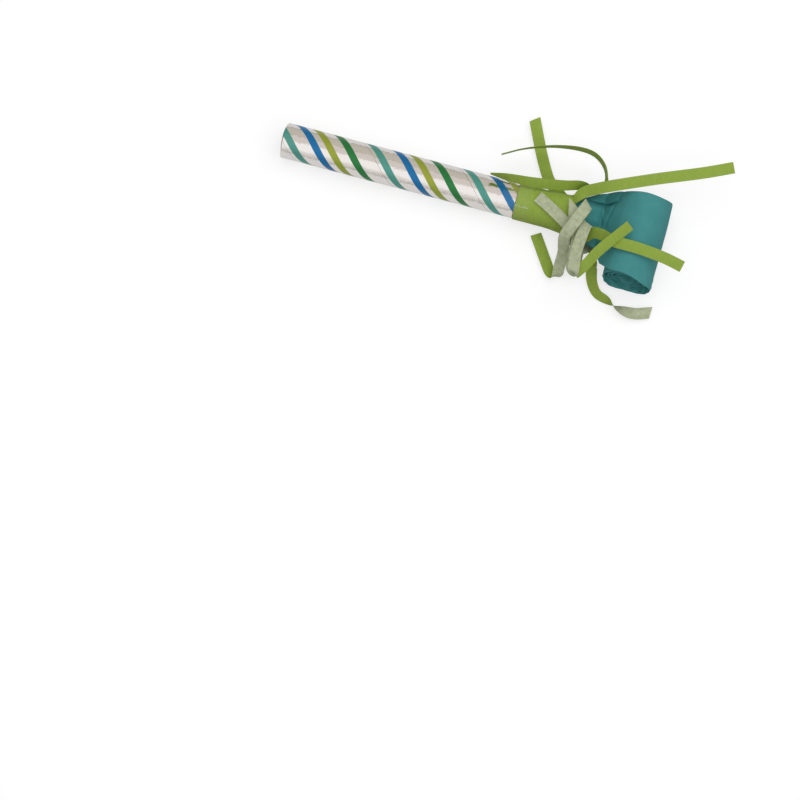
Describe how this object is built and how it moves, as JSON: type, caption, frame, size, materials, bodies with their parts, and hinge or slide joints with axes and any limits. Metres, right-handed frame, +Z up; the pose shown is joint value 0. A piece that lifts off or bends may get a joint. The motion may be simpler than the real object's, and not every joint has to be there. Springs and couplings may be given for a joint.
{
  "type": "party blowout",
  "caption": "Party blowout: striped foil tube with a reed inside, slit paper fringe and a flat paper bladder that rolls up on a coiled wire and unrolls when blown.",
  "frame": {"origin": "centre of the tube's mouth", "axes": "+X along the tube from the mouth to the roll, +Z up from the surface it lies on, +Y to the left seen from the mouth"},
  "size_m": [0.1605, 0.064, 0.0253],
  "materials": {
    "card": "matte",
    "foil": "polished",
    "reed_plastic": "satin",
    "teal_paper": "matte",
    "spring_wire": "satin",
    "lime_paper": "matte",
    "clear_film": "gloss"
  },
  "bodies": {
    "tube": {"core_tube": "card", "foil_wrap": "foil", "reed_holder": "reed_plastic", "reed_wedge": "reed_plastic", "bladder_neck": "teal_paper", "return_spring": "spring_wire", "fringe": "lime_paper", "tape_band": "clear_film"},
    "panel": {"bladder_panel": "teal_paper"},
    "link_01": {"bladder_01": "teal_paper"},
    "link_02": {"bladder_02": "teal_paper"},
    "link_03": {"bladder_03": "teal_paper"},
    "link_04": {"bladder_04": "teal_paper"},
    "link_05": {"bladder_05": "teal_paper"},
    "link_06": {"bladder_06": "teal_paper"},
    "link_07": {"bladder_07": "teal_paper"},
    "link_08": {"bladder_08": "teal_paper"},
    "link_09": {"bladder_09": "teal_paper"},
    "link_10": {"bladder_10": "teal_paper"},
    "link_11": {"bladder_11": "teal_paper"},
    "link_12": {"bladder_12": "teal_paper"},
    "link_13": {"bladder_13": "teal_paper"},
    "link_14": {"bladder_14": "teal_paper"},
    "link_15": {"bladder_15": "teal_paper"},
    "link_16": {"bladder_16": "teal_paper"},
    "link_17": {"bladder_17": "teal_paper"},
    "link_18": {"bladder_18": "teal_paper"},
    "link_19": {"bladder_19": "teal_paper"},
    "link_20": {"bladder_20": "teal_paper"},
    "link_21": {"bladder_21": "teal_paper"},
    "link_22": {"bladder_22": "teal_paper"},
    "link_23": {"bladder_23": "teal_paper"},
    "link_tip": {"bladder_tip": "teal_paper"},
    "reed": {"reed_tongue": "reed_plastic"}
  },
  "joints": [
    {"name": "uncoil", "type": "hinge", "parent": "tube", "child": "panel", "pos_m": [0.118, -0.001, 0.00035], "axis": [0, 1, 0], "range_deg": [0, 51], "stiffness_Nm_per_rad": 0.0015, "springref_deg": -57.3, "deforming": ["return_spring"]},
    {"name": "fold_01", "type": "hinge", "parent": "panel", "child": "link_01", "pos_m": [0.12455, -0.004, 0.00844], "axis": [0, -1, 0], "range_deg": [0, 30]},
    {"name": "fold_02", "type": "hinge", "parent": "link_01", "child": "link_02", "pos_m": [0.13379, -0.004, 0.01199], "axis": [0, -1, 0], "range_deg": [0, 60]},
    {"name": "fold_03", "type": "hinge", "parent": "link_02", "child": "link_03", "pos_m": [0.14131, -0.004, 0.00591], "axis": [0, -1, 0], "range_deg": [0, 60]},
    {"name": "fold_04", "type": "hinge", "parent": "link_03", "child": "link_04", "pos_m": [0.13983, -0.004, -0.00341], "axis": [0, -1, 0], "range_deg": [0, 60]},
    {"name": "fold_05", "type": "hinge", "parent": "link_04", "child": "link_05", "pos_m": [0.13124, -0.004, -0.00671], "axis": [0, -1, 0], "range_deg": [0, 60]},
    {"name": "fold_06", "type": "hinge", "parent": "link_05", "child": "link_06", "pos_m": [0.12427, -0.004, -0.00106], "axis": [0, -1, 0], "range_deg": [0, 60]},
    {"name": "fold_07", "type": "hinge", "parent": "link_06", "child": "link_07", "pos_m": [0.12564, -0.004, 0.00756], "axis": [0, -1, 0], "range_deg": [0, 60]},
    {"name": "fold_08", "type": "hinge", "parent": "link_07", "child": "link_08", "pos_m": [0.13358, -0.004, 0.01061], "axis": [0, -1, 0], "range_deg": [0, 60]},
    {"name": "fold_09", "type": "hinge", "parent": "link_08", "child": "link_09", "pos_m": [0.14, -0.004, 0.00541], "axis": [0, -1, 0], "range_deg": [0, 60]},
    {"name": "fold_10", "type": "hinge", "parent": "link_09", "child": "link_10", "pos_m": [0.13874, -0.004, -0.00253], "axis": [0, -1, 0], "range_deg": [0, 60]},
    {"name": "fold_11", "type": "hinge", "parent": "link_10", "child": "link_11", "pos_m": [0.13146, -0.004, -0.00532], "axis": [0, -1, 0], "range_deg": [0, 60]},
    {"name": "fold_12", "type": "hinge", "parent": "link_11", "child": "link_12", "pos_m": [0.12558, -0.004, -0.00056], "axis": [0, -1, 0], "range_deg": [0, 60]},
    {"name": "fold_13", "type": "hinge", "parent": "link_12", "child": "link_13", "pos_m": [0.12673, -0.004, 0.00668], "axis": [0, -1, 0], "range_deg": [0, 60]},
    {"name": "fold_14", "type": "hinge", "parent": "link_13", "child": "link_14", "pos_m": [0.13336, -0.004, 0.00922], "axis": [0, -1, 0], "range_deg": [0, 60]},
    {"name": "fold_15", "type": "hinge", "parent": "link_14", "child": "link_15", "pos_m": [0.13869, -0.004, 0.0049], "axis": [0, -1, 0], "range_deg": [0, 60]},
    {"name": "fold_16", "type": "hinge", "parent": "link_15", "child": "link_16", "pos_m": [0.13766, -0.004, -0.00165], "axis": [0, -1, 0], "range_deg": [0, 60]},
    {"name": "fold_17", "type": "hinge", "parent": "link_16", "child": "link_17", "pos_m": [0.13168, -0.004, -0.00394], "axis": [0, -1, 0], "range_deg": [0, 60]},
    {"name": "fold_18", "type": "hinge", "parent": "link_17", "child": "link_18", "pos_m": [0.12689, -0.004, -0.00006], "axis": [0, -1, 0], "range_deg": [0, 60]},
    {"name": "fold_19", "type": "hinge", "parent": "link_18", "child": "link_19", "pos_m": [0.12782, -0.004, 0.0058], "axis": [0, -1, 0], "range_deg": [0, 60]},
    {"name": "fold_20", "type": "hinge", "parent": "link_19", "child": "link_20", "pos_m": [0.13314, -0.004, 0.00784], "axis": [0, -1, 0], "range_deg": [0, 60]},
    {"name": "fold_21", "type": "hinge", "parent": "link_20", "child": "link_21", "pos_m": [0.13739, -0.004, 0.0044], "axis": [0, -1, 0], "range_deg": [0, 60]},
    {"name": "fold_22", "type": "hinge", "parent": "link_21", "child": "link_22", "pos_m": [0.13657, -0.004, -0.00077], "axis": [0, -1, 0], "range_deg": [0, 60]},
    {"name": "fold_23", "type": "hinge", "parent": "link_22", "child": "link_23", "pos_m": [0.1319, -0.004, -0.00256], "axis": [0, -1, 0], "range_deg": [0, 60]},
    {"name": "fold_tip", "type": "hinge", "parent": "link_23", "child": "link_tip", "pos_m": [0.1282, -0.004, 0.00044], "axis": [0, -1, 0], "range_deg": [0, 60]},
    {"name": "reed_flex", "type": "hinge", "parent": "tube", "child": "reed", "pos_m": [0.037, 0, 0.0003], "axis": [0, -1, 0], "range_deg": [-1, 2], "stiffness_Nm_per_rad": 0.0005}
  ],
  "couplings": [
    {"joint": "fold_01", "follows": "uncoil", "ratio": 0.58824},
    {"joint": "fold_02", "follows": "uncoil", "ratio": 1.1765},
    {"joint": "fold_03", "follows": "uncoil", "ratio": 1.1765},
    {"joint": "fold_04", "follows": "uncoil", "ratio": 1.1765},
    {"joint": "fold_05", "follows": "uncoil", "ratio": 1.1765},
    {"joint": "fold_06", "follows": "uncoil", "ratio": 1.1765},
    {"joint": "fold_07", "follows": "uncoil", "ratio": 1.1765},
    {"joint": "fold_08", "follows": "uncoil", "ratio": 1.1765},
    {"joint": "fold_09", "follows": "uncoil", "ratio": 1.1765},
    {"joint": "fold_10", "follows": "uncoil", "ratio": 1.1765},
    {"joint": "fold_11", "follows": "uncoil", "ratio": 1.1765},
    {"joint": "fold_12", "follows": "uncoil", "ratio": 1.1765},
    {"joint": "fold_13", "follows": "uncoil", "ratio": 1.1765},
    {"joint": "fold_14", "follows": "uncoil", "ratio": 1.1765},
    {"joint": "fold_15", "follows": "uncoil", "ratio": 1.1765},
    {"joint": "fold_16", "follows": "uncoil", "ratio": 1.1765},
    {"joint": "fold_17", "follows": "uncoil", "ratio": 1.1765},
    {"joint": "fold_18", "follows": "uncoil", "ratio": 1.1765},
    {"joint": "fold_19", "follows": "uncoil", "ratio": 1.1765},
    {"joint": "fold_20", "follows": "uncoil", "ratio": 1.1765},
    {"joint": "fold_21", "follows": "uncoil", "ratio": 1.1765},
    {"joint": "fold_22", "follows": "uncoil", "ratio": 1.1765},
    {"joint": "fold_23", "follows": "uncoil", "ratio": 1.1765},
    {"joint": "fold_tip", "follows": "uncoil", "ratio": 1.1765}
  ]
}
